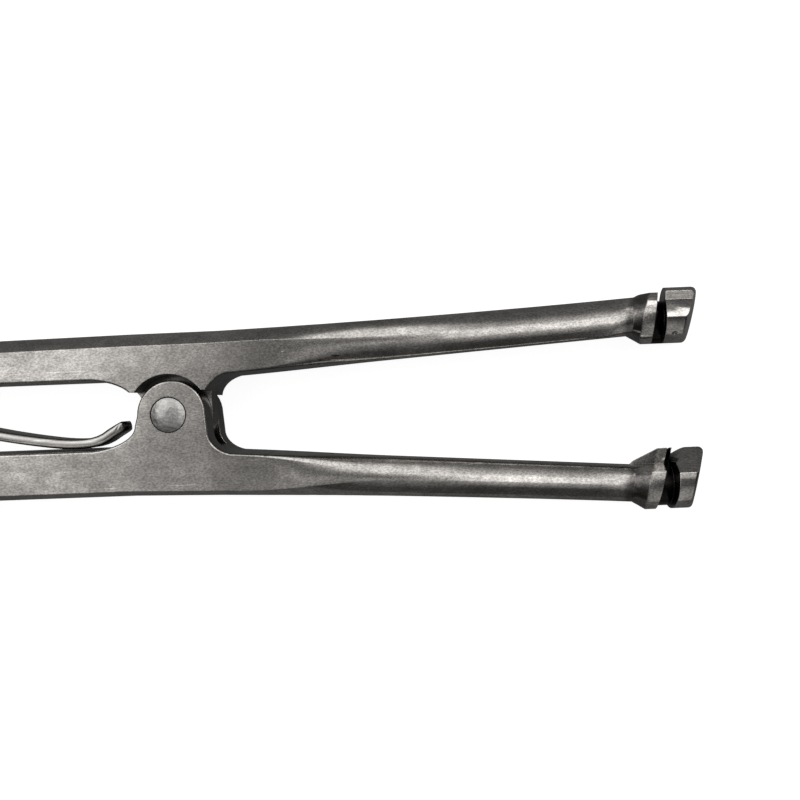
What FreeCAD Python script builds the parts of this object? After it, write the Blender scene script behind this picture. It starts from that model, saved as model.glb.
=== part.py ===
# Band forming pliers: two forged arms on a rivet, a leaf spring between the handles.
# Frame: the pivot axis is the Z axis, the tool lies on its rear face in the plane z = 0,
# X runs along the tool to the grooved heads, +Y is the side of the upper arm. Millimetres.
import FreeCAD, Part
import math
import os

V = FreeCAD.Vector

# Overall sizes
thickness = 12.0
handle_length = 138.0
handle_bow = 11.0
bow_start = -38.0
bow_end = -142.0
handle_end_height = 7.4

# Each arm was ground by hand, so the two differ a little
upper_gap_half = 6.7
upper_joint_height = 8.7
upper_handle_height = 8.3
upper_crown = 2.8
lower_gap_half = 6.05
lower_joint_height = 8.95
lower_handle_height = 8.9
lower_crown = 1.5

# Jaws
jaw_start = 8.0
jaw_length = 88.0
upper_jaw_gap_half = 6.93
upper_jaw_spread = math.radians(3.46)
upper_jaw_height = 8.55
upper_tip_height = 7.1
lower_jaw_gap_half = 7.17
lower_jaw_spread = math.radians(4.21)
lower_jaw_height = 8.3
lower_tip_height = 6.95
jaw_depth = 9.8
tip_depth = 8.2

# Cross-section of an arm
handle_corner = 0.4
jaw_corner = 2.7
jaw_crown = 3.6
section_change_start = 13.0
section_change_end = 41.0
handle_spans = 12
jaw_spans = 14

# Ears of the joint
cheek_radius = 6.2
cheek_shift = 0.5
cheek_thickness = 4.0
tongue_clearance = 0.12
tongue_radius = 6.9
slot_clearance = 0.35
recess_clearance = 0.7
shoulder_height = 4.3
rear_shoulder_height = 3.4
flank_left = 6.2
upper_flank_right = 6.7
lower_flank_right = 7.0
flare_left = 9.5
flare_right = 5.6
flare_left_rise = 4.3
flare_right_rise = 4.2
flare_pull = 0.55
flare_sink = 0.08

# Rivet
rivet_radius = 2.5
rivet_head_radius = 3.1
rivet_head_seat = 1.0
rivet_dome = 0.55
rivet_head_gap = 0.15
rivet_running_gap = 0.05

# Grooved heads: round, with cone, groove and end cut askew to the arm.
# Each plane has two slopes along the tool: per millimetre up, and per millimetre back.
cone_slopes = (0.25, 0.42)
lower_head_radius = 5.7
lower_head_offset = 15.57
lower_cone_run = -3.4
lower_flange_run = 0.85
lower_groove_run = 2.64
lower_groove_width = 1.76
lower_end_run = 9.66
lower_wall_slopes = ((0.247, 0.288), (0.05, 0.10), (0.247, 0.46))
lower_notch_up = 3.0
lower_notch_slopes = (1.2, 0.1)
upper_head_radius = 5.25
upper_head_offset = 15.15
upper_cone_run = -2.3
upper_flange_run = 0.95
upper_groove_run = 2.5
upper_groove_width = 1.6
upper_end_run = 9.5
upper_wall_slopes = ((0.153, 0.318), (0.05, 0.244), (0.27, 0.51))
head_core_radius = 4.2
head_core_drop = 1.2
head_core_back = 1.8
head_end_round = 0.9
lower_seat_height = 2.8
lower_seat_drop = 1.0
lower_land_distance = 4.6
lower_land_angle = math.radians(38.0)
upper_step_up = 2.6
upper_step_front = 3.2
upper_land_up = 1.6
upper_land_front = 4.2
upper_land_angle = math.radians(22.0)
upper_flush = 0.2
punch_run = 4.7
punch_angle = math.radians(45.0)
punch_radius = 0.5
punch_depth = 0.35

# Leaf spring and its screw
spring_thickness = 1.8
spring_width = 7.6
spring_tip_width = 4.8
spring_screw_x = -90.0
spring_seat_half = 7.0
spring_seat_gap = 0.04
spring_rest_x = -18.0
spring_rest_gap = 0.3
spring_tip_rise = 3.95
spring_tip_run = 7.95
spring_tip_round = 1.2
spring_bends = ((0.40, 0.42), (0.775, 0.864), (0.889, 0.955))
spring_upturn = ((0.49, 0.17), (0.73, 0.46), (1, 1))
screw_hole_gap = 0.15
screw_radius = 1.5
screw_head_radius = 2.9
screw_head_height = 1.4
screw_head_chamfer = 0.35
screw_depth = 5.5
screw_slot_width = 0.7
screw_slot_depth = 0.6

# Cutters reach this far past the faces they cut
over = 1.0

# Values worked out from the sizes above
mid = thickness / 2
tongue_thickness = thickness - 2 * cheek_thickness - 2 * tongue_clearance
tongue_low = mid - tongue_thickness / 2
recess_radius = cheek_radius + cheek_shift + recess_clearance
slot_radius = tongue_radius + slot_clearance
joint_width = 2 * (flank_left + flare_left)
head_cutter = 8 * lower_head_radius

# How far the middle of a quarter round of radius 1 lies from the sides of its corner
quarter_sag = 1 - math.sqrt(0.5)


def share(x, start, end):
    """How far x lies from start to end, from 0 to 1."""
    return min(1.0, max(0.0, (x - start) / (end - start)))


def ease(x, start, end):
    """The same, with a soft beginning and end."""
    t = share(x, start, end)
    return t * t * (3 - 2 * t)


def pick(side, upper, lower):
    """The size of the upper arm for side 1, of the lower arm for side -1."""
    return upper if side > 0 else lower


def inner_edge(x, side):
    """Distance of an arm's inner side from the middle of the tool."""
    handle = pick(side, upper_gap_half, lower_gap_half)
    if x < -jaw_start:
        return handle + handle_bow * ease(x, bow_start, bow_end)
    jaw = pick(side, upper_jaw_gap_half, lower_jaw_gap_half)
    spread = pick(side, upper_jaw_spread, lower_jaw_spread)
    near = handle + (jaw - handle) * share(x, -jaw_start, jaw_start)
    return near + max(0.0, x - jaw_start) * math.tan(spread)


def arm_height(x, side):
    """Height of an arm in plan: even along the handle, easing down along the jaw."""
    joint = pick(side, upper_joint_height, lower_joint_height)
    handle = pick(side, upper_handle_height, lower_handle_height)
    if x < -jaw_start:
        near = joint + (handle - joint) * share(x, -jaw_start, bow_start)
        return near + (handle_end_height - handle) * share(x, bow_start, -handle_length)
    jaw = pick(side, upper_jaw_height, lower_jaw_height)
    tip = pick(side, upper_tip_height, lower_tip_height)
    near = joint + (jaw - joint) * share(x, -jaw_start, jaw_start)
    left = 1 - share(x, jaw_start, jaw_length)
    return near + (tip - jaw) * (1 - left * left)


def outer_edge(x, side):
    return inner_edge(x, side) + arm_height(x, side)


def prism(edges, low, high):
    """A solid between two heights, from a closed outline in plan."""
    wire = Part.Wire(edges)
    wire.translate(V(0, 0, low))
    return Part.Face(wire).extrude(V(0, 0, high - low))


def disc(radius, low, high, x=0.0, y=0.0):
    return Part.makeCylinder(radius, high - low, V(x, y, low))


def block(x0, x1, y0, y1, z0, z1):
    return Part.makeBox(x1 - x0, y1 - y0, z1 - z0, V(x0, y0, z0))


def arm_section(x, side):
    """Closed outline of an arm at x: flat inside, crowned outside, flat front and rear."""
    change = ease(x, section_change_start, section_change_end)
    depth = thickness + (jaw_depth - thickness) * change
    depth += (tip_depth - jaw_depth) * share(x, section_change_end, jaw_length)
    half = depth / 2
    corner = handle_corner + (jaw_corner - handle_corner) * change
    handle_crown = pick(side, upper_crown, lower_crown)
    crown = handle_crown + (jaw_crown - handle_crown) * change
    inside = side * inner_edge(x, side)
    outside = side * outer_edge(x, side)
    shoulder = outside - side * crown
    bend = inside + side * corner
    soft = corner * quarter_sag

    def at(y, z):
        return V(x, y, mid + z)

    return Part.Wire([
        Part.makeLine(at(inside, corner - half), at(inside, half - corner)),
        Part.Arc(at(inside, half - corner), at(inside + side * soft, half - soft),
                 at(bend, half)).toShape(),
        Part.makeLine(at(bend, half), at(shoulder, half)),
        Part.Arc(at(shoulder, half), at(outside, 0), at(shoulder, -half)).toShape(),
        Part.makeLine(at(shoulder, -half), at(bend, -half)),
        Part.Arc(at(bend, -half), at(inside + side * soft, soft - half),
                 at(inside, corner - half)).toShape(),
    ])


def spaced(start, end, spans):
    count = round(spans)
    return [start + (end - start) * i / count for i in range(count)]


def arm_bar(side):
    """Handle and jaw in one run, with a rounded handle end."""
    stations = spaced(-handle_length, bow_start, handle_spans)
    stations += [bow_start, -jaw_start, jaw_start]
    stations += spaced(section_change_start, section_change_end, jaw_spans)
    stations += spaced(section_change_end, jaw_length, jaw_spans // 2)
    stations += [jaw_length]
    bar = Part.makeLoft([arm_section(x, side) for x in stations], True, True)
    end_radius = handle_end_height / 2
    end_x = end_radius - handle_length
    end_y = side * (inner_edge(end_x, side) + end_radius)
    reach = 2 * (jaw_length + handle_length)
    keep = disc(end_radius, -over, thickness + over, end_x, end_y)
    keep = keep.fuse(block(end_x, reach, -reach, reach, -over, thickness + over))
    return bar.common(keep)


def flare(side, root, edge, run, rise):
    """Flank that leaves an eye straight at x = edge and runs out along the arm's inner side."""
    poles = [(edge, rise), (edge, rise * (1 - flare_pull)), (edge + run * (1 - flare_pull), 0),
             (edge + run, 0)]
    curve = Part.BezierCurve()
    curve.setPoles([V(x, root + side * up, 0) for x, up in poles])
    return curve.toShape()


def ear(side, radius, shift):
    """Round eye about the pivot, with flared flanks that run into the arm's inner side."""
    left = -flank_left - flare_left
    flank_right = pick(side, lower_flank_right, upper_flank_right)
    right = flank_right + flare_right
    root_left = -side * (inner_edge(left, -side) + flare_sink)
    root_right = -side * (inner_edge(right, -side) + flare_sink)
    inside_arm = root_left - side * lower_handle_height / 2

    def at(x, y):
        return V(x, y, 0)

    outline = [
        Part.Arc(at(shift - radius, 0), at(shift, side * radius), at(shift + radius, 0)).toShape(),
        Part.makeLine(at(shift + radius, 0), at(flank_right, root_right + side * flare_right_rise)),
        flare(side, root_right, flank_right, flare_right, flare_right_rise),
        Part.makeLine(at(right, root_right), at(right, inside_arm)),
        Part.makeLine(at(right, inside_arm), at(left, inside_arm)),
        Part.makeLine(at(left, inside_arm), at(left, root_left)),
        flare(side, root_left, -flank_left, -flare_left, flare_left_rise),
        Part.makeLine(at(-flank_left, root_left + side * flare_left_rise), at(shift - radius, 0)),
    ]
    eye = prism(outline, 0, thickness)
    rim = [edge for edge in eye.Edges if edge.BoundBox.ZLength < handle_corner
           and side * (edge.CenterOfMass.y - root_right) > 0]
    return eye.makeFillet(handle_corner, rim)


def askew_block(x, slopes):
    """Cutter beyond a plane that crosses the head's axis at x, leaning by its two slopes."""
    up, back = slopes
    cutter = Part.makeBox(head_cutter, head_cutter, head_cutter,
                          V(0, -head_cutter / 2, -head_cutter / 2))
    cutter.Placement = FreeCAD.Placement(
        V(x, 0, 0), FreeCAD.Rotation(V(1, 0, 0), V(1, -up, back)))
    return cutter


def grooved_head(side, runs, width, slopes):
    """Round head about its own axis: a skewed cone, then a groove between two flanges."""
    cone, flange, groove, end = runs
    radius = pick(side, upper_head_radius, lower_head_radius)
    arm_radius = pick(side, upper_tip_height, lower_tip_height) / 2
    first, second, last = slopes
    reach = end + 3 * radius
    widening = (radius - arm_radius) / (flange - cone)
    wide = radius + over * widening
    outline = Part.makePolygon([
        V(cone - arm_radius, 0, 0), V(cone, arm_radius, 0), V(flange + over, wide, 0),
        V(reach, wide, 0), V(reach, 0, 0), V(cone - arm_radius, 0, 0)])
    skewed = Part.Face(outline).revolve(V(0, 0, 0), V(1, 0, 0), 360)
    askew = FreeCAD.Matrix()
    askew.A12 = cone_slopes[0]
    askew.A13 = -cone_slopes[1]
    head = Part.makeCylinder(radius, 2 * reach, V(-reach, 0, 0), V(1, 0, 0))
    head = head.common(skewed.transformGeometry(askew)).cut(askew_block(end, last))
    rim = [edge for edge in head.Edges if edge.BoundBox.XMin > flange + radius / 2]
    head = head.makeFillet(head_end_round, rim)
    ring = Part.makeCylinder(2 * radius, 2 * reach, V(-reach, 0, 0), V(1, 0, 0))
    core = Part.makeCylinder(head_core_radius, 2 * reach,
                             V(-reach, -head_core_drop, -head_core_back), V(1, 0, 0))
    slot = ring.cut(core).common(askew_block(groove, first))
    return head.cut(slot.cut(askew_block(groove + width, second)))


def placed_head(head, side):
    head.translate(V(jaw_length, side * pick(side, upper_head_offset, lower_head_offset), mid))
    return head


def bar_along(points, start, end):
    """Cutter along the tool from x = start to end, its outline in the head's cross-section."""
    outline = Part.makePolygon([V(start, y, z) for y, z in points + points[:1]])
    return Part.Face(outline).extrude(V(end - start, 0, 0))


def lower_head():
    runs = (lower_cone_run, lower_flange_run, lower_groove_run, lower_end_run)
    head = grooved_head(-1, runs, lower_groove_width, lower_wall_slopes)
    beyond = askew_block(lower_groove_run + lower_groove_width / 2, lower_wall_slopes[0])
    land = block(-head_cutter, head_cutter, lower_land_distance, head_cutter,
                 -head_cutter, head_cutter)
    land.rotate(V(0, 0, 0), V(1, 0, 0), math.degrees(lower_land_angle))
    notch = block(-head_cutter, head_cutter, lower_notch_up, head_cutter,
                  -head_cutter, head_cutter)
    notch_run = lower_groove_run + lower_groove_width - lower_notch_slopes[0] * lower_notch_up
    notch = notch.cut(askew_block(notch_run, lower_notch_slopes))
    front = lower_head_radius + over
    seat = [(lower_seat_height, 0), (head_cutter, 0), (head_cutter, front),
            (lower_seat_height - lower_seat_drop, front)]
    head = head.cut(land.common(beyond)).cut(notch.common(beyond))
    return placed_head(head.cut(bar_along(seat, -head_cutter, head_cutter).cut(beyond)), -1)


def upper_head():
    runs = (upper_cone_run, upper_flange_run, upper_groove_run, upper_end_run)
    head = grooved_head(1, runs, upper_groove_width, upper_wall_slopes)
    beyond = askew_block(upper_groove_run + upper_groove_width / 2, upper_wall_slopes[0])
    low = upper_land_up - head_cutter * math.cos(upper_land_angle)
    high = upper_land_front + head_cutter * math.sin(upper_land_angle)
    land = [(upper_step_up, upper_step_front), (upper_land_up, upper_land_front), (low, high),
            (head_cutter, high), (head_cutter, upper_step_front)]
    head = head.cut(bar_along(land, -head_cutter, head_cutter).common(beyond))
    top = outer_edge(jaw_length, 1) + upper_flush - upper_head_offset
    flush = block(-head_cutter, head_cutter, top, head_cutter, -head_cutter, head_cutter)
    outward = V(0, -math.sin(punch_angle), math.cos(punch_angle))
    floor = outward * (upper_head_radius - punch_depth) + V(punch_run, 0, 0)
    punch = Part.makeCone(0, 2 * punch_radius, 2 * punch_depth, floor, outward)
    return placed_head(head.cut(flush.cut(beyond)).cut(punch), 1)


def seat_angle():
    """Slope of the upper handle's inner side at the spring's screw."""
    step = 0.5
    rise = inner_edge(spring_screw_x + step, 1) - inner_edge(spring_screw_x - step, 1)
    return math.atan2(rise, 2 * step)


def on_spring_seat(shape):
    """Moves a shape made at the origin, with +Y into the handle, to the spring's seat."""
    shape.rotate(V(0, 0, 0), V(0, 0, 1), math.degrees(seat_angle()))
    shape.translate(V(spring_screw_x, inner_edge(spring_screw_x, 1), mid))
    return shape


def make_lower_arm():
    arm = arm_bar(-1).fuse(ear(1, cheek_radius, cheek_shift))
    slot_low = cheek_thickness
    slot_high = thickness - cheek_thickness
    slot = block(-joint_width, joint_width, -lower_gap_half, 2 * cheek_radius, slot_low, slot_high)
    arm = arm.cut(slot)
    arm = arm.cut(disc(slot_radius, slot_low, slot_high))
    arm = arm.cut(disc(rivet_radius, -over, thickness + over))
    seat_bottom = thickness - rivet_head_seat
    arm = arm.cut(disc(rivet_head_radius + rivet_head_gap, seat_bottom, thickness + over))
    return arm.fuse(lower_head()).removeSplitter()


def make_upper_arm():
    arm = arm_bar(1).fuse(ear(-1, tongue_radius, 0))
    for shoulder, low, high in ((rear_shoulder_height, -over, tongue_low),
                                (shoulder_height, thickness - tongue_low, thickness + over)):
        arm = arm.cut(disc(recess_radius, low, high))
        arm = arm.cut(block(-joint_width, joint_width, -2 * tongue_radius, shoulder, low, high))
    arm = arm.cut(disc(rivet_radius + rivet_running_gap, -over, thickness + over))
    hole = Part.makeCylinder(screw_radius, screw_depth + over, V(0, -over, 0), V(0, 1, 0))
    arm = arm.cut(on_spring_seat(hole))
    return arm.fuse(upper_head()).removeSplitter()


def make_rivet():
    """Shank flush at the rear, a low domed head in its seat at the front."""
    seat_bottom = thickness - rivet_head_seat
    shank = disc(rivet_radius, 0, seat_bottom)
    head = disc(rivet_head_radius, seat_bottom, thickness + rivet_dome)
    dome_radius = (rivet_head_radius ** 2 + rivet_dome ** 2) / (2 * rivet_dome)
    ball = Part.makeSphere(dome_radius, V(0, 0, thickness + rivet_dome - dome_radius))
    return shank.fuse(head.common(ball)).removeSplitter()


def spring_line():
    """Middle line of the strip: seat, long S to the lower handle, upturned end."""
    slope = seat_angle()
    drop = spring_seat_gap + spring_thickness / 2
    seat = V(spring_screw_x, inner_edge(spring_screw_x, 1), 0)
    seat = seat + V(math.sin(slope) * drop, -math.cos(slope) * drop, 0)
    along = V(math.cos(slope), math.sin(slope), 0)
    rest_y = -lower_gap_half + spring_rest_gap + spring_thickness / 2
    leave = seat + along * spring_seat_half
    span = spring_rest_x - leave.x
    fall = rest_y - leave.y
    points = [seat - along * spring_seat_half, seat, leave]
    for run, drop in spring_bends:
        points.append(leave + V(run * span, drop * fall, 0))
    points.append(V(spring_rest_x, rest_y, 0))
    for run, rise in spring_upturn:
        points.append(V(spring_rest_x + run * spring_tip_run, rest_y + rise * spring_tip_rise, 0))
    line = Part.BSplineCurve()
    line.interpolate(points)
    return line, points


def make_spring():
    line, points = spring_line()
    upper = []
    lower = []
    for point in points:
        tangent = line.tangent(line.parameter(point))[0]
        normal = V(-tangent.y, tangent.x, 0) * (spring_thickness / 2)
        upper.append(point + normal)
        lower.append(point - normal)
    top = Part.BSplineCurve()
    top.interpolate(upper)
    bottom = Part.BSplineCurve()
    bottom.interpolate(lower)
    end = line.tangent(line.parameter(points[-1]))[0] * (spring_thickness / 2)
    outline = [
        top.toShape(),
        Part.Arc(upper[-1], points[-1] + end, lower[-1]).toShape(),
        bottom.toShape(),
        Part.makeLine(lower[0], upper[0]),
    ]
    strip = prism(outline, mid - spring_width / 2, mid + spring_width / 2)
    half = spring_width / 2
    tip = spring_tip_width / 2
    left = points[0].x
    right = points[-1].x + spring_thickness / 2
    shoulder = right - spring_tip_round

    def at(x, z):
        return V(x, -2 * outer_edge(spring_screw_x, 1), mid + z)

    plan = Part.Wire([
        Part.Arc(at(left + half, half), at(left, 0), at(left + half, -half)).toShape(),
        Part.makeLine(at(left + half, -half), at(spring_rest_x, -tip)),
        Part.makeLine(at(spring_rest_x, -tip), at(shoulder, -tip)),
        Part.Arc(at(shoulder, -tip), at(right, 0), at(shoulder, tip)).toShape(),
        Part.makeLine(at(shoulder, tip), at(spring_rest_x, tip)),
        Part.makeLine(at(spring_rest_x, tip), at(left + half, half)),
    ])
    strip = strip.common(Part.Face(plan).extrude(V(0, 4 * outer_edge(spring_screw_x, 1), 0)))
    hole = Part.makeCylinder(screw_radius + screw_hole_gap, 4 * spring_thickness,
                             V(0, -3 * spring_thickness, 0), V(0, 1, 0))
    return strip.cut(on_spring_seat(hole))


def make_screw():
    """Slotted screw, its head on the strip and its shank in the handle."""
    seat = spring_seat_gap + spring_thickness
    shank = Part.makeCylinder(screw_radius, screw_depth + seat, V(0, -seat, 0), V(0, 1, 0))
    rim = screw_head_height - screw_head_chamfer
    head = Part.makeCylinder(screw_head_radius, rim, V(0, -seat - rim, 0), V(0, 1, 0))
    top = Part.makeCone(screw_head_radius - screw_head_chamfer, screw_head_radius,
                        screw_head_chamfer, V(0, -seat - screw_head_height, 0), V(0, 1, 0))
    slot = Part.makeBox(4 * screw_head_radius, screw_slot_depth, screw_slot_width,
                        V(-2 * screw_head_radius, -seat - screw_head_height, -screw_slot_width / 2))
    return on_spring_seat(shank.fuse([head, top]).cut(slot).removeSplitter())


def main():
    os.makedirs("parts", exist_ok=True)
    nodes = {
        "lower_arm": make_lower_arm(),
        "upper_arm": make_upper_arm(),
        "pivot_rivet": make_rivet(),
        "leaf_spring": make_spring(),
        "spring_screw": make_screw(),
    }
    for name, shape in nodes.items():
        if len(shape.Solids) != 1:
            raise ValueError("%s is %d solids" % (name, len(shape.Solids)))
        shape = shape.Solids[0]
        box = shape.BoundBox
        print(name, "valid", shape.isValid(), round(shape.Volume, 1), "mm3",
              [round(v, 2) for v in (box.XMin, box.XMax, box.YMin, box.YMax, box.ZMin, box.ZMax)])
        shape.exportStep("parts/%s.step" % name)


main()
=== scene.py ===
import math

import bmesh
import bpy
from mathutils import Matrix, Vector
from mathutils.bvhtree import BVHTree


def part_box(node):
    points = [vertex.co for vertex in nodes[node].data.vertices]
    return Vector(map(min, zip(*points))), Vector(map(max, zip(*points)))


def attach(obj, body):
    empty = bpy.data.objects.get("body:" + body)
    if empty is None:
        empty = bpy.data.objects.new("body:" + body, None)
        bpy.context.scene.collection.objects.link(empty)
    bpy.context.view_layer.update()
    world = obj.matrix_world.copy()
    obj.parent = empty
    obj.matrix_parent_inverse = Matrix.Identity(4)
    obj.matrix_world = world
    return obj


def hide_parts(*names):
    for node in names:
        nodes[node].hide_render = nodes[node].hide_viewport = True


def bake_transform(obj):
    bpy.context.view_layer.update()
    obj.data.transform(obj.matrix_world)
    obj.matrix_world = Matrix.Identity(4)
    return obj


# %% [markdown]
# # Band forming pliers
# Long spreading pliers of satin stainless steel: two forged arms turn on one rivet, a leaf
# spring holds the handles apart, and each jaw ends in a grooved round head. The solids come
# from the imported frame. This script dresses them: softened edges, a swept spring, ground and
# worn steel, and the light of a small photo table.

# %% Load the solids
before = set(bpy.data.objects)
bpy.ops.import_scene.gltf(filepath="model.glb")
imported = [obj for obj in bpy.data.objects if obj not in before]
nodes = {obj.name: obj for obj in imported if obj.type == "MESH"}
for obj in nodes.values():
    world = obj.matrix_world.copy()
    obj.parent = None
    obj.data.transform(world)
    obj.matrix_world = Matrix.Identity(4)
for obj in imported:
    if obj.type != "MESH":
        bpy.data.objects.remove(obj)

MM = 0.001
scene = bpy.context.scene
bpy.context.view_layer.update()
print("solids:", sorted(nodes))

# %% [markdown]
# ## Places on the tool
# The tool's thickness is typed, as it was drawn. The leaf
# spring is measured further down. The finishes of the heads and the rivet use a few sizes of
# the solids that a box can't tell, and those are typed beside them.

# %% Thickness of the frame
THICKNESS = 12.0 * MM
middle = THICKNESS / 2

# %% [markdown]
# ## Node helpers
# Every finish below is a short chain of shader nodes. These helpers add a node, set its
# sockets by name, and join two sockets, so that a material reads like a recipe.


# %% Helpers for shader nodes
def new_material(name):
    """An empty node material, with its output and its main shader joined."""
    material = bpy.data.materials.new(name)
    material.use_nodes = True
    tree = material.node_tree
    tree.nodes.clear()
    output = tree.nodes.new("ShaderNodeOutputMaterial")
    shader = tree.nodes.new("ShaderNodeBsdfPrincipled")
    tree.links.new(shader.outputs["BSDF"], output.inputs["Surface"])
    return material, tree, shader


def add(tree, kind, inputs=None, **settings):
    """Adds a node, sets its options, then fills its sockets with values or joins them."""
    node = tree.nodes.new(kind)
    for key, value in settings.items():
        setattr(node, key, value)
    for key, value in (inputs or {}).items():
        if isinstance(value, bpy.types.NodeSocket):
            tree.links.new(value, node.inputs[key])
        else:
            node.inputs[key].default_value = value
    return node


def stretched(tree, scale):
    """Object coordinates, stretched by a scale for each axis."""
    place = add(tree, "ShaderNodeTexCoord")
    return add(tree, "ShaderNodeMapping", {
        "Vector": place.outputs["Object"], "Scale": scale}).outputs[0]


def spread(tree, value, low, high, to_low, to_high):
    """Maps a value from one range to another, held at both ends."""
    return add(tree, "ShaderNodeMapRange", {
        "Value": value, "From Min": low, "From Max": high, "To Min": to_low, "To Max": to_high,
    }).outputs[0]


def math_node(tree, operation, a, b):
    return add(tree, "ShaderNodeMath", {0: a, 1: b}, operation=operation).outputs[0]


print("node helpers ready")

# %% [markdown]
# ## Steel
# The arms are forged, ground and tumbled, and they have been used. A finish is built from
# layers, each a short function: soft stains where the gloss changes, a fine grain, small
# pits, a few fine scratches that cross, painted shade in slots and corners, and edges painted
# brighter, partly as wear and partly as a painted highlight. Bright edges come from the Bevel
# node: where its softened normal leaves the face's own normal, there is an edge.

# %% Layers of a steel finish
def noise(tree, stretch, scale, detail, low, high, to_low, to_high, turn=0.0):
    """Noise on Object coordinates, spread over a chosen range."""
    place = add(tree, "ShaderNodeTexCoord").outputs["Object"]
    vector = add(tree, "ShaderNodeMapping", {
        "Vector": place, "Scale": stretch, "Rotation": (0.0, 0.0, turn)}).outputs[0]
    value = add(tree, "ShaderNodeTexNoise", {
        "Vector": vector, "Scale": scale, "Detail": detail, "Roughness": 0.6}).outputs[0]
    return spread(tree, value, low, high, to_low, to_high)


def stains(tree, amount):
    wide = noise(tree, (1.0, 1.4, 1.4), 75.0, 3.0, 0.35, 0.65, 1.0 - amount, 1.0 + amount)
    small = noise(tree, (1.0, 1.5, 1.5), 320.0, 4.0, 0.35, 0.65, 1.0 - amount, 1.0 + amount)
    return math_node(tree, "MULTIPLY", wide, small)


def grain(tree, amount):
    return noise(tree, (0.6, 1.0, 1.0), 3600.0, 2.0, 0.36, 0.64, 1.0 - amount, 1.0 + amount)


def pits(tree, share):
    """1 in a scattered small pit, 0 elsewhere."""
    cells = add(tree, "ShaderNodeTexVoronoi", {
        "Vector": stretched(tree, (1.0, 1.0, 1.0)), "Scale": 330.0, "Randomness": 1.0})
    pick = add(tree, "ShaderNodeSeparateColor", {0: cells.outputs["Color"]}).outputs[0]
    chosen = math_node(tree, "GREATER_THAN", pick, 1.0 - share)
    deep = spread(tree, cells.outputs["Distance"], 0.03, 0.075, 1.0, 0.0)
    return math_node(tree, "MULTIPLY", deep, chosen)


def scratches(tree, turn, seed_scale):
    """Thin lines in one direction, only in some patches."""
    lines = noise(tree, (28.0, 1500.0, 28.0), seed_scale, 1.0, 0.68, 0.72, 0.0, 1.0, turn)
    patch = noise(tree, (1.0, 1.0, 1.0), 110.0, 1.0, 0.52, 0.6, 0.0, 1.0)
    return math_node(tree, "MULTIPLY", lines, patch)


def painted_crevice_shade(tree, reach):
    """Painted shade: 1 on open faces, falling towards 0 in slots and corners."""
    occlusion = add(tree, "ShaderNodeAmbientOcclusion", {"Distance": reach}, samples=8)
    return spread(tree, occlusion.outputs["AO"], 0.3, 0.85, 0.06, 1.0)


def worn_edge_and_highlight(tree, soft_normal):
    """1 along edges, 0 on faces: the edges are painted brighter, partly as wear and partly as a
    painted highlight.
    """
    own = add(tree, "ShaderNodeNewGeometry").outputs["Normal"]
    same = add(tree, "ShaderNodeVectorMath", {0: own, 1: soft_normal}, operation="DOT_PRODUCT")
    return spread(tree, same.outputs["Value"], 0.90, 0.995, 1.0, 0.0)


def along_tool(tree, stops):
    """A value that changes along the tool: stops are (x, value)."""
    x = add(tree, "ShaderNodeSeparateXYZ", {0: stretched(tree, (1.0, 1.0, 1.0))}).outputs[0]
    value = stops[0][1]
    for (x0, v0), (x1, v1) in zip(stops, stops[1:]):
        step = spread(tree, x, x0, x1, 0.0, v1 - v0)
        value = math_node(tree, "ADD", step, value)
    return value


# %% Painted shade and dark places of the heads and the joint
HEADS = {
    "lower": {"axis_y": -15.57, "cone": -3.4, "flange": 0.85, "groove": (2.64, 0.247, 0.288),
              "groove_end": (4.4, 0.05, 0.10)},
    "upper": {"axis_y": 15.15, "cone": -2.3, "flange": 0.95, "groove": (2.5, 0.153, 0.318),
              "groove_end": (4.1, 0.05, 0.244)},
}
CONE_SLOPES = (0.25, 0.42)
HEAD_X = 88.0
AXIS_Z = 6.0


def beyond(tree, place, run, up, back, soft):
    """0 before a leaning plane of a head and 1 beyond it, over a soft width in mm."""
    x, y, z = place
    lean = math_node(tree, "ADD", x, math_node(tree, "MULTIPLY", y, -up))
    lean = math_node(tree, "ADD", lean, math_node(tree, "MULTIPLY", z, back))
    return spread(tree, lean, run - soft, run + soft, 0.0, 1.0)


def head_dark_cone_and_groove_shade(tree):
    """1 on polished steel, darker on the cone, and low with painted shade in the groove of each
    head.
    """
    tool = add(tree, "ShaderNodeSeparateXYZ",
               {0: stretched(tree, (1.0 / MM, 1.0 / MM, 1.0 / MM))}).outputs
    x = math_node(tree, "SUBTRACT", tool[0], HEAD_X)
    z = math_node(tree, "SUBTRACT", tool[2], AXIS_Z)
    level = {}
    for name, head in HEADS.items():
        y = math_node(tree, "SUBTRACT", tool[1], head["axis_y"])
        place = (x, y, z)
        cone = math_node(tree, "SUBTRACT", beyond(tree, place, head["cone"], *CONE_SLOPES, 0.5),
                         beyond(tree, place, head["flange"], *CONE_SLOPES, 0.25))
        groove = math_node(tree, "SUBTRACT", beyond(tree, place, *head["groove"], 0.08),
                           beyond(tree, place, *head["groove_end"], 0.08))
        groove = math_node(tree, "MAXIMUM", groove, 0.0)
        # Darker on the cone; painted shade deep in the groove.
        level[name] = math_node(tree, "MULTIPLY", spread(tree, cone, 0.0, 1.0, 1.0, 0.4),
                                spread(tree, groove, 0.0, 1.0, 1.0, 0.05))
    is_upper = math_node(tree, "GREATER_THAN", tool[1], 0.0)
    change = math_node(tree, "SUBTRACT", level["upper"], level["lower"])
    part = math_node(tree, "MULTIPLY", is_upper, change)
    return math_node(tree, "ADD", level["lower"], part)


RIVET_RADIUS = 3.1 * MM


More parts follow.
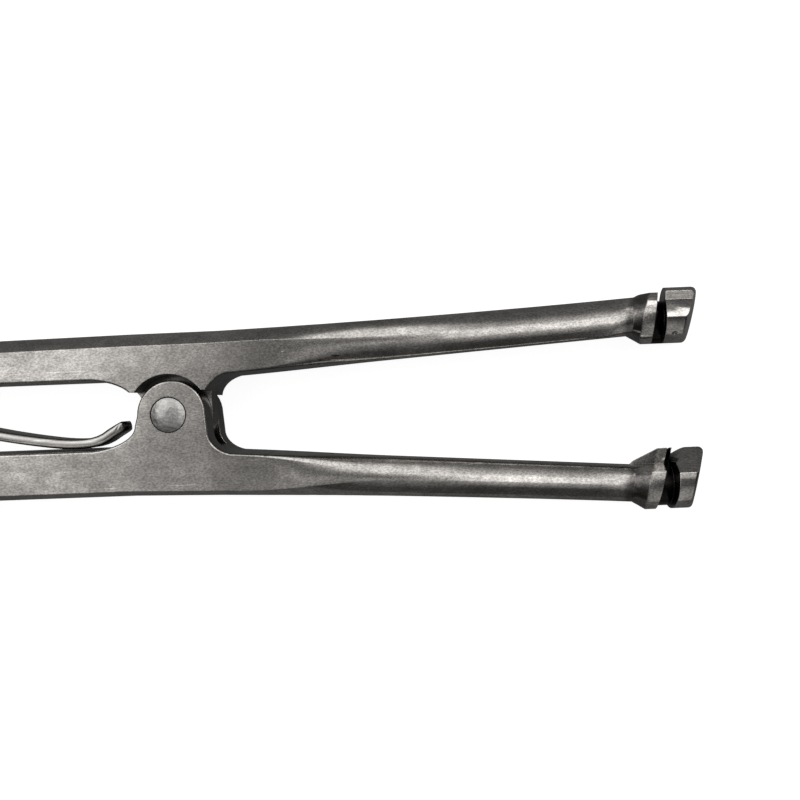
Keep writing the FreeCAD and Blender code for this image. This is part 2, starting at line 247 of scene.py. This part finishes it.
def joint_painted_shade(tree):
    """Painted shade: low in a ring round the rivet head and on the sideways faces between the
    layers of the joint.
    """
    facing = add(tree, "ShaderNodeSeparateXYZ",
                 {0: add(tree, "ShaderNodeNewGeometry").outputs["Normal"]}).outputs[2]
    sideways = spread(tree, math_node(tree, "ABSOLUTE", facing, 0.0), 0.25, 0.6, 1.0, 0.0)
    x, y, z = add(tree, "ShaderNodeSeparateXYZ", {0: stretched(tree, (1.0, 1.0, 1.0))}).outputs
    near = math_node(tree, "MULTIPLY", spread(tree, x, -16.0 * MM, -9.0 * MM, 0.0, 1.0),
                     spread(tree, x, 16.0 * MM, 34.0 * MM, 1.0, 0.0))
    inside = spread(tree, math_node(tree, "ABSOLUTE", y, 0.0), 8.6 * MM, 9.4 * MM, 1.0, 0.0)
    # Painted shade on the sideways walls between the joint's layers.
    dark = math_node(tree, "MULTIPLY", math_node(tree, "MULTIPLY", near, inside), sideways)
    shade = spread(tree, dark, 0.0, 1.0, 1.0, 0.42)
    across = math_node(tree, "SQRT", math_node(tree, "ADD", math_node(tree, "MULTIPLY", x, x),
                                               math_node(tree, "MULTIPLY", y, y)), 0.0)
    # Painted shade in a ring round the rivet head.
    ring = spread(tree, across, RIVET_RADIUS, RIVET_RADIUS + 0.35 * MM, 0.25, 1.0)
    return math_node(tree, "MULTIPLY", shade, ring)


# %% Nicks
# Each nick is (x, y, length, width) in mm, where the photo shows one.
NICKS = [(30.4, 9.6, 1.5, 0.35), (27.6, 8.9, 0.7, 0.3), (17.2, -7.9, 0.8, 0.45)]


def nick_painted_shade(tree):
    """Painted shade of small nicks near the joint, which are not cut into the surface."""
    x, y, z = add(tree, "ShaderNodeSeparateXYZ",
                  {0: stretched(tree, (1.0 / MM, 1.0 / MM, 1.0 / MM))}).outputs
    level = 1.0
    # Each nick is painted dark, as the shade in it.
    for at_x, at_y, length, width in NICKS:
        far_x = math_node(tree, "DIVIDE", math_node(tree, "SUBTRACT", x, at_x), length / 2)
        far_y = math_node(tree, "DIVIDE", math_node(tree, "SUBTRACT", y, at_y), width / 2)
        square = math_node(tree, "ADD", math_node(tree, "MULTIPLY", far_x, far_x),
                           math_node(tree, "MULTIPLY", far_y, far_y))
        level = math_node(tree, "MULTIPLY", spread(tree, square, 0.5, 1.3, 0.25, 1.0), level)
    return level


# %% Steel finishes
def steel(name, color, stain, fleck, pit_share, edge, roughness, shade_layers=(), dents=0.0):
    """Roughness is given as stops along the tool; shade layers add painted shade and other
    darkening.
    Dents are the shallow marks that a hammer leaves on a rivet head."""
    material, tree, shader = new_material(name)
    shader.inputs["Metallic"].default_value = 1.0
    soft_normal = add(tree, "ShaderNodeBevel", {"Radius": edge}, samples=6).outputs[0]
    stain_level = stains(tree, stain)
    pit = pits(tree, pit_share)
    lines = math_node(tree, "MAXIMUM", scratches(tree, 0.5, 1.0), scratches(tree, -0.35, 1.3))
    worn_and_highlit_edges = worn_edge_and_highlight(tree, soft_normal)

    level = math_node(tree, "MULTIPLY", stain_level, grain(tree, fleck))
    level = math_node(tree, "MULTIPLY", level, spread(tree, pit, 0.0, 1.0, 1.0, 0.25))
    level = math_node(tree, "MULTIPLY", level, spread(tree, lines, 0.0, 1.0, 1.0, 1.35))
    # Edges painted brighter: partly wear, partly a painted highlight.
    level = math_node(tree, "MULTIPLY", level, spread(tree, worn_and_highlit_edges, 0.0, 1.0, 1.0, 1.5))
    # Painted shade in slots and corners.
    level = math_node(tree, "MULTIPLY", level, painted_crevice_shade(tree, 2.4 * MM))
    # Painted shade in the head grooves, about the joint, round the rivet and in the nicks, and
    # darker head cones.
    for shade in shade_layers:
        level = math_node(tree, "MULTIPLY", level, shade(tree))
    tone = add(tree, "ShaderNodeVectorMath", {0: color, "Scale": level}, operation="SCALE")
    tree.links.new(tone.outputs[0], shader.inputs["Base Color"])

    gloss = math_node(tree, "MULTIPLY", spread(tree, stain_level, 0.8, 1.2, 1.12, 0.88),
                      along_tool(tree, roughness))
    tree.links.new(gloss, shader.inputs["Roughness"])

    fine = noise(tree, (0.4, 1.0, 1.0), 4200.0, 2.0, 0.0, 1.0, 0.0, 1.0)
    height = math_node(tree, "SUBTRACT", fine, math_node(tree, "MULTIPLY", pit, 5.0))
    height = math_node(tree, "SUBTRACT", height, math_node(tree, "MULTIPLY", lines, 1.0))
    bump = add(tree, "ShaderNodeBump", {
        "Strength": 0.6, "Distance": 0.01 * MM, "Height": height, "Normal": soft_normal})
    if dents:
        hammered = noise(tree, (1.0, 1.0, 1.0), 620.0, 2.0, 0.3, 0.7, 0.0, 1.0)
        bump = add(tree, "ShaderNodeBump", {
            "Strength": 1.0, "Distance": dents, "Height": hammered, "Normal": bump.outputs[0]})
    tree.links.new(bump.outputs[0], shader.inputs["Normal"])
    print("finish:", name)
    return material


satin = steel(
    "satin_ground_steel", (0.60, 0.58, 0.56), stain=0.16, fleck=0.27, pit_share=0.16,
    edge=0.16 * MM, roughness=[(-40.0 * MM, 0.28), (0.0 * MM, 0.2), (40.0 * MM, 0.17),
                               (82.0 * MM, 0.15), (86.0 * MM, 0.09)],
    shade_layers=[head_dark_cone_and_groove_shade, joint_painted_shade, nick_painted_shade])
turned = steel(
    "turned_rivet_steel", (0.68, 0.67, 0.66), stain=0.16, fleck=0.12, pit_share=0.05,
    edge=0.12 * MM, roughness=[(-100.0 * MM, 0.32), (100.0 * MM, 0.32)], dents=0.06 * MM)
sprung = steel(
    "polished_spring_steel", (0.56, 0.55, 0.54), stain=0.05, fleck=0.08, pit_share=0.03,
    edge=0.1 * MM, roughness=[(-100.0 * MM, 0.14), (100.0 * MM, 0.14)])

# %% [markdown]
# ## Arms, rivet and screw
# A node from the frame is loose triangles, which shade as flat facets. Each of these pieces
# is a merged copy instead: its triangles are joined, and only edges sharper than a set angle
# stay hard, so that the crowned handles and the round heads shade as one smooth form.

# %% Smooth copies
HARD_ANGLE = math.radians(28.0)
JAW_HARD_ANGLE = math.radians(13.0)
JAW = (13.0 * MM, 84.0 * MM)
ROUND_FROM = 14.0 * MM
ROUND_FULL = 42.0 * MM
SHIFT_FROM = 24.0 * MM
SHIFT_FULL = 62.0 * MM
UPPER_CROWN_SHIFT = 1.15 * MM
LOWER_CROWN_SHIFT = 0.15 * MM


def hard_angle(edge):
    """Folds of the jaws are shallow but crisp; elsewhere small folds are only facets."""
    x = (edge.verts[0].co.x + edge.verts[1].co.x) / 2
    return JAW_HARD_ANGLE if JAW[0] < x < JAW[1] else HARD_ANGLE


def ease(value, start, end):
    t = min(1.0, max(0.0, (value - start) / (end - start)))
    return t * t * (3 - 2 * t)


def round_jaw(mesh):
    """Turns the normals of a jaw towards an oval rod's. The mesh itself stays flatter; the
    shifts are chosen so that the highlight lies where the photo has it."""
    tree = BVHTree.FromPolygons([v.co.copy() for v in mesh.vertices],
                                [tuple(p.vertices) for p in mesh.polygons])
    reach = 40.0 * MM
    normals = [Vector(item.vector) for item in mesh.corner_normals]
    targets = {}
    for vertex in mesh.vertices:
        x, y, z = vertex.co
        weight = ease(x, ROUND_FROM, ROUND_FULL) * (x < JAW[1])
        if weight == 0.0:
            continue
        side = 1.0 if y > 0 else -1.0
        outer = tree.ray_cast(Vector((x, side * reach, middle)), Vector((0, -side, 0)))[0]
        inner = tree.ray_cast(Vector((x, 0.0, middle)), Vector((0, side, 0)))[0]
        if outer is None or inner is None:
            continue
        shift = UPPER_CROWN_SHIFT if side > 0 else LOWER_CROWN_SHIFT
        centre = (outer.y + inner.y) / 2 - shift * ease(x, SHIFT_FROM, SHIFT_FULL)
        half = abs(outer.y - inner.y) / 2
        depth = max(abs(z - middle), half)
        oval = Vector((0.0, (y - centre) / half ** 2, (z - middle) / depth ** 2)).normalized()
        targets[vertex.index] = (weight, oval)
    for loop in mesh.loops:
        if loop.vertex_index in targets:
            weight, oval = targets[loop.vertex_index]
            normals[loop.index] = normals[loop.index].lerp(oval, 0.8 * weight).normalized()
    mesh.normals_split_custom_set(normals)
    print("jaw corners rounded:", len(targets))


def smooth_copy(node_name, piece_name, material, body):
    """A merged, smooth-shaded copy that stands for a node of the frame."""
    mesh = nodes[node_name].data.copy()
    mesh.name = piece_name
    work = bmesh.new()
    work.from_mesh(mesh)
    bmesh.ops.remove_doubles(work, verts=work.verts, dist=0.002 * MM)
    for edge in work.edges:
        edge.smooth = len(edge.link_faces) == 2 and edge.calc_face_angle(0.0) < hard_angle(edge)
    for face in work.faces:
        face.smooth = True
    work.to_mesh(mesh)
    work.free()
    mesh.materials.clear()
    mesh.materials.append(material)
    piece = bpy.data.objects.new(piece_name, mesh)
    scene.collection.objects.link(piece)
    weigh = piece.modifiers.new("even_shading", "WEIGHTED_NORMAL")
    weigh.mode = "FACE_AREA_WITH_ANGLE"
    weigh.keep_sharp = True
    bpy.context.view_layer.update()
    ready = piece.evaluated_get(bpy.context.evaluated_depsgraph_get())
    shaded = bpy.data.meshes.new_from_object(ready)
    piece.modifiers.clear()
    piece.data = shaded
    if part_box(node_name)[1].x > JAW[1]:
        round_jaw(shaded)
    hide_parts(node_name)
    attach(piece, body)
    print(piece_name, len(shaded.polygons), "faces")
    return piece


smooth_copy("lower_arm", "lower_arm_steel", satin, "lower")
smooth_copy("upper_arm", "upper_arm_steel", satin, "upper")
smooth_copy("pivot_rivet", "pivot_rivet_steel", turned, "lower")
smooth_copy("spring_screw", "spring_screw_steel", turned, "upper")

# %% [markdown]
# ## Leaf spring
# The strip is one flat band swept along a gentle S, narrower towards its upturned end. That
# is a shape with a rule, so Geometry Nodes make it: a line of points becomes a curve, a
# rounded rectangle is swept along it, and a last step narrows the band and rounds both ends
# in plan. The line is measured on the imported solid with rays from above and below, so the
# strip always follows the solid.

# %% Line of the spring, measured on its solid
def measure_line(node_name, count):
    """Middle line of a strip from rays above and below it, with its thickness."""
    tree = BVHTree.FromPolygons([v.co.copy() for v in nodes[node_name].data.vertices],
                                [tuple(p.vertices) for p in nodes[node_name].data.polygons])
    low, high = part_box(node_name)
    beside_the_hole = 2.0 * MM
    pairs = []
    for i in range(count):
        x = low.x + (high.x - low.x) * (i + 0.5) / count
        z = middle + beside_the_hole
        down = tree.ray_cast(Vector((x, high.y + MM, z)), Vector((0, -1, 0)))[0]
        up = tree.ray_cast(Vector((x, low.y - MM, z)), Vector((0, 1, 0)))[0]
        if down and up:
            pairs.append((x, down.y, up.y))
    depth = min(top - bottom for x, top, bottom in pairs[count // 4:count // 2])
    end_x = high.x - depth / 2
    line = [Vector((x, (top + bottom) / 2, middle)) for x, top, bottom in pairs
            if x < high.x - 1.4 * depth]
    start = line[0] - line[3]
    finish = line[-1] - line[-3]
    line.insert(0, line[0] + start * ((low.x - line[0].x) / start.x))
    line.append(line[-1] + finish * ((end_x - line[-1].x) / finish.x))
    line.append(line[-1] + finish.normalized() * depth / 2)
    return line, depth


spring_line, spring_depth = measure_line("leaf_spring", 72)
print("spring points:", len(spring_line), "thickness mm:", round(spring_depth / MM, 2))


# %% Strip swept along the line
def group_input(group, name, kind, value=None):
    socket = group.interface.new_socket(name=name, in_out="INPUT", socket_type=kind)
    if value is not None:
        socket.default_value = value
    return socket.identifier


strip_group = bpy.data.node_groups.new("tapered_strip", "GeometryNodeTree")
STRIP = {
    "line": group_input(strip_group, "Line", "NodeSocketGeometry"),
    "width": group_input(strip_group, "Width", "NodeSocketFloat", 7.6 * MM),
    "tip": group_input(strip_group, "Tip Share", "NodeSocketFloat", 0.63),
    "depth": group_input(strip_group, "Thickness", "NodeSocketFloat", 1.8 * MM),
    "corner": group_input(strip_group, "Corner", "NodeSocketFloat", 0.86 * MM),
    "taper_end": group_input(strip_group, "Taper End X", "NodeSocketFloat", -18.0 * MM),
    "round": group_input(strip_group, "Tip Round", "NodeSocketFloat", 2.2 * MM),
    "start": group_input(strip_group, "Start X", "NodeSocketFloat", 0.0),
    "end": group_input(strip_group, "End X", "NodeSocketFloat", 0.0),
    "middle": group_input(strip_group, "Middle Z", "NodeSocketFloat", 6.0 * MM),
    "material": group_input(strip_group, "Material", "NodeSocketMaterial"),
}
strip_group.interface.new_socket(
    name="Geometry", in_out="OUTPUT", socket_type="NodeSocketGeometry")


def build_strip(tree):
    given = tree.nodes.new("NodeGroupInput").outputs
    value = {name: given[i] for i, name in enumerate(STRIP)}
    curve = add(tree, "GeometryNodeMeshToCurve", {"Mesh": value["line"]})
    upright = add(tree, "GeometryNodeSetCurveNormal", {"Curve": curve.outputs[0]}, mode="Z_UP")
    even = add(tree, "GeometryNodeResampleCurve", {"Curve": upright.outputs[0], "Count": 260})
    length = add(tree, "GeometryNodeSplineParameter").outputs["Length"]
    whole = add(tree, "GeometryNodeSplineLength").outputs["Length"]
    half_depth = math_node(tree, "MULTIPLY", value["depth"], 0.5)
    left = math_node(tree, "SUBTRACT", whole, length)
    nose = math_node(tree, "SUBTRACT", 1.0, math_node(tree, "DIVIDE", left, half_depth))
    nose = math_node(tree, "MAXIMUM", nose, 0.0)
    nose = math_node(tree, "SUBTRACT", 1.0, math_node(tree, "POWER", nose, 2.0))
    nose = math_node(tree, "SQRT", nose, 0.0)
    nose = math_node(tree, "MAXIMUM", nose, 0.08)
    radius = add(tree, "GeometryNodeSetCurveRadius", {"Curve": even.outputs[0], "Radius": nose})
    bar = add(tree, "GeometryNodeCurvePrimitiveQuadrilateral",
              {"Width": value["depth"], "Height": value["width"]})
    bar = add(tree, "GeometryNodeFilletCurve",
              {"Curve": bar.outputs[0], "Radius": value["corner"], "Count": 8}, mode="POLY")
    swept = add(tree, "GeometryNodeCurveToMesh",
                {"Curve": radius.outputs[0], "Profile Curve": bar.outputs[0],
                 "Scale": nose, "Fill Caps": True})

    place = add(tree, "ShaderNodeSeparateXYZ",
                {0: add(tree, "GeometryNodeInputPosition").outputs[0]})
    x = place.outputs[0]
    half = math_node(tree, "MULTIPLY", value["width"], 0.5)
    shoulder = math_node(tree, "ADD", value["start"], half)
    taper = add(tree, "ShaderNodeMapRange", {
        "Value": x, "From Min": shoulder, "From Max": value["taper_end"], "To Min": 1.0,
        "To Max": value["tip"]}).outputs[0]
    for corner, edge in ((shoulder, value["start"]),
                         (math_node(tree, "SUBTRACT", value["end"], value["round"]), value["end"])):
        t = add(tree, "ShaderNodeMapRange", {
            "Value": x, "From Min": corner, "From Max": edge}).outputs[0]
        bow = math_node(tree, "SUBTRACT", 1.0, math_node(tree, "POWER", t, 2.0))
        bow = math_node(tree, "MAXIMUM", math_node(tree, "SQRT", bow, 0.0), 0.12)
        taper = math_node(tree, "MULTIPLY", taper, bow)
    side = math_node(tree, "SUBTRACT", place.outputs[2], value["middle"])
    z = math_node(tree, "ADD", value["middle"], math_node(tree, "MULTIPLY", side, taper))
    shaped = add(tree, "ShaderNodeCombineXYZ", {0: x, 1: place.outputs[1], 2: z})
    strip = add(tree, "GeometryNodeSetPosition",
                {"Geometry": swept.outputs[0], "Position": shaped.outputs[0]})
    real = add(tree, "GeometryNodeRealizeInstances", {0: strip.outputs[0]})
    dressed = add(tree, "GeometryNodeSetMaterial",
                  {"Geometry": real.outputs[0], "Material": value["material"]})
    out = tree.nodes.new("NodeGroupOutput")
    tree.links.new(dressed.outputs[0], out.inputs[0])


build_strip(strip_group)


# %% Leaf spring strip
def make_spring():
    mesh = bpy.data.meshes.new("spring_line")
    mesh.from_pydata(spring_line, [(i, i + 1) for i in range(len(spring_line) - 1)], [])
    line = bpy.data.objects.new("spring_line", mesh)
    scene.collection.objects.link(line)
    low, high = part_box("leaf_spring")
    sweep = line.modifiers.new("strip", "NODES")
    sweep.node_group = strip_group
    sweep[STRIP["width"]] = high.z - low.z
    sweep[STRIP["depth"]] = spring_depth
    sweep[STRIP["start"]] = low.x
    sweep[STRIP["end"]] = high.x
    sweep[STRIP["middle"]] = middle
    sweep[STRIP["material"]] = sprung
    bpy.context.view_layer.update()
    ready = line.evaluated_get(bpy.context.evaluated_depsgraph_get())
    strip = bpy.data.objects.new("leaf_spring_strip", bpy.data.meshes.new_from_object(ready))
    line.modifiers.clear()
    bpy.data.objects.remove(line)
    for face in strip.data.polygons:
        face.use_smooth = True
    scene.collection.objects.link(strip)
    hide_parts("leaf_spring")
    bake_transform(strip)
    print("strip faces:", len(strip.data.polygons))


make_spring()

# %% [markdown]
# ## Photo table
# The tool lies on a pale table. The table shows white to the camera and still takes the tool's
# shadow, because its emission lies under a lit diffuse coat. To the polished metal it is dark,
# as the black card round a photo table is.

# %% Table
def make_table():
    size = 3.0
    mesh = bpy.data.meshes.new("table")
    mesh.from_pydata([(-size, -size, 0), (size, -size, 0), (size, size, 0), (-size, size, 0)],
                     [], [(0, 1, 2, 3)])
    table = bpy.data.objects.new("table", mesh)
    scene.collection.objects.link(table)
    table.location.z = -0.2 * MM
    material, tree, shader = new_material("table_white")
    shader.inputs["Roughness"].default_value = 0.9
    rays = add(tree, "ShaderNodeLightPath")
    tone = add(tree, "ShaderNodeMix", {0: rays.outputs["Is Glossy Ray"], 2: 0.5, 3: 0.1})
    tree.links.new(tone.outputs[0], shader.inputs["Base Color"])
    mirrored = math_node(tree, "MULTIPLY", rays.outputs["Is Glossy Ray"], 0.05)
    seen = math_node(tree, "MAXIMUM", rays.outputs["Is Camera Ray"], mirrored)
    shader.inputs["Emission Color"].default_value = (1.0, 1.0, 1.0, 1.0)
    tree.links.new(math_node(tree, "MULTIPLY", seen, 0.92), shader.inputs["Emission Strength"])
    mesh.materials.append(material)
    return table


make_table()

# %% [markdown]
# ## Light
# Soft light stands over the far side of the table, and the near side is the dark room. Its
# shape changes along the tool, so the world is made of a few columns side by side: handles,
# joint, near jaws, far jaws and heads. Each column says how light the room is over the angle
# across the tool. The levels were set by comparing renders with the photo's tones from its
# one viewpoint, so they are a light that fits that picture and not a known room.

# %% World
# Levels over the angle across the tool, in degrees: 0 is straight up, 90 the far side of
# the table, and beyond 90 or -90 lies the room below the table's height.
BY_HANDLES = [(-180, 0.1), (-120, 0.05), (-70, 0.03), (-30, 0.12), (-15, 0.36), (-7, 0.5),
              (0, 0.62), (5, 0.78), (12, 1.1), (40, 1.1), (60, 0.25), (100, 0.1), (180, 0.1)]
BY_JOINT = [(-180, 0.1), (-100, 0.05), (-50, 0.05), (-15, 0.16), (-7, 0.2), (5, 0.12),
            (14, 0.3), (30, 1.0), (45, 0.9), (62, 0.22), (110, 0.1), (180, 0.1)]
BY_NEAR_JAWS = [(-180, 0.1), (-100, 0.04), (-60, 0.06), (-45, 0.14), (-25, 0.22), (-12, 0.34),
                (-5, 0.3), (2, 0.12), (9, 0.1), (18, 0.3), (30, 1.0), (50, 1.2), (66, 1.1),
                (78, 0.15), (110, 0.1), (180, 0.1)]
BY_FAR_JAWS = [(-180, 0.1), (-62, 0.04), (-42, 0.05), (-24, 0.3), (-8, 0.55), (2, 1.2),
               (30, 1.35), (42, 0.7), (60, 0.4), (75, 0.13), (110, 0.1), (180, 0.1)]
BY_HEADS = [(-180, 0.2), (-62, 0.3), (-45, 0.25), (-25, 0.08), (0, 0.1), (10, 0.5), (20, 0.6),
            (30, 0.5), (36, 1.1), (44, 1.9), (56, 1.9), (61, 0.3), (75, 0.15), (100, 0.12),
            (180, 0.15)]
COLUMNS = [((-0.40, -0.25), BY_JOINT), ((-0.16, -0.12), BY_NEAR_JAWS),
           ((0.03, 0.12), BY_FAR_JAWS), ((0.335, 0.365), BY_HEADS)]


def level_ramp(tree, value, stops, low, high):
    """A grey ramp over value, with stops (value, level) from low to high."""
    ramp = add(tree, "ShaderNodeValToRGB", {0: spread(tree, value, low, high, 0.0, 1.0)})
    elements = ramp.color_ramp.elements
    elements.remove(elements[1])
    elements[0].position = 0.0
    for i, (at, level) in enumerate(stops):
        element = elements[0] if i == 0 else elements.new((at - low) / (high - low))
        element.color = (level, level, level, 1.0)
    return ramp.outputs[0]


def make_world():
    world = bpy.data.worlds.new("photo_room")
    scene.world = world
    world.use_nodes = True
    tree = world.node_tree
    tree.nodes.clear()
    output = tree.nodes.new("ShaderNodeOutputWorld")
    x, y, z = add(tree, "ShaderNodeSeparateXYZ",
                  {0: add(tree, "ShaderNodeTexCoord").outputs["Generated"]}).outputs
    across = math_node(tree, "DEGREES", math_node(tree, "ARCTAN2", y, z), 0.0)
    light = level_ramp(tree, across, BY_HANDLES, -180, 180)
    for (start, end), stops in COLUMNS:
        light = add(tree, "ShaderNodeMix", {
            0: spread(tree, x, start, end, 0.0, 1.0), 2: light,
            3: level_ramp(tree, across, stops, -180, 180)}).outputs[0]
    fade = spread(tree, math_node(tree, "ABSOLUTE", x, 0.0), 0.56, 0.8, 1.0, 0.15)
    light = math_node(tree, "MULTIPLY", light, fade)
    light = math_node(tree, "MULTIPLY", light, spread(tree, x, -0.5, -0.38, 1.35, 1.0))
    tint = add(tree, "ShaderNodeVectorMath",
               {0: (1.0, 0.985, 0.965), "Scale": light}, operation="SCALE")
    background = add(tree, "ShaderNodeBackground", {"Color": tint.outputs[0], "Strength": 1.0})
    tree.links.new(background.outputs[0], output.inputs[0])
    print("world columns:", len(COLUMNS) + 1)


make_world()

# %% [markdown]
# ## Camera
# The camera stands where the photo was taken: its distance follows from how much of the side
# faces is seen, and it is turned a little, as the tool lies a little askew in the picture.

# %% Camera
PHOTO_SIDE = 800
FOCAL_PIXELS = 635.0
SENSOR = 36.0
camera_data = bpy.data.cameras.new("camera")
camera_data.sensor_width = SENSOR
camera_data.lens = SENSOR * FOCAL_PIXELS / PHOTO_SIDE
camera_data.clip_start = 0.005
camera_data.clip_end = 20.0
camera = bpy.data.objects.new("camera", camera_data)
camera.location = (41.83 * MM, 1.095 * MM, 126.3 * MM)
camera.rotation_euler = (0.0, 0.0, math.radians(-2.2))
scene.collection.objects.link(camera)
scene.camera = camera
scene.view_settings.view_transform = "Standard"
print("lens mm:", round(camera_data.lens, 2))
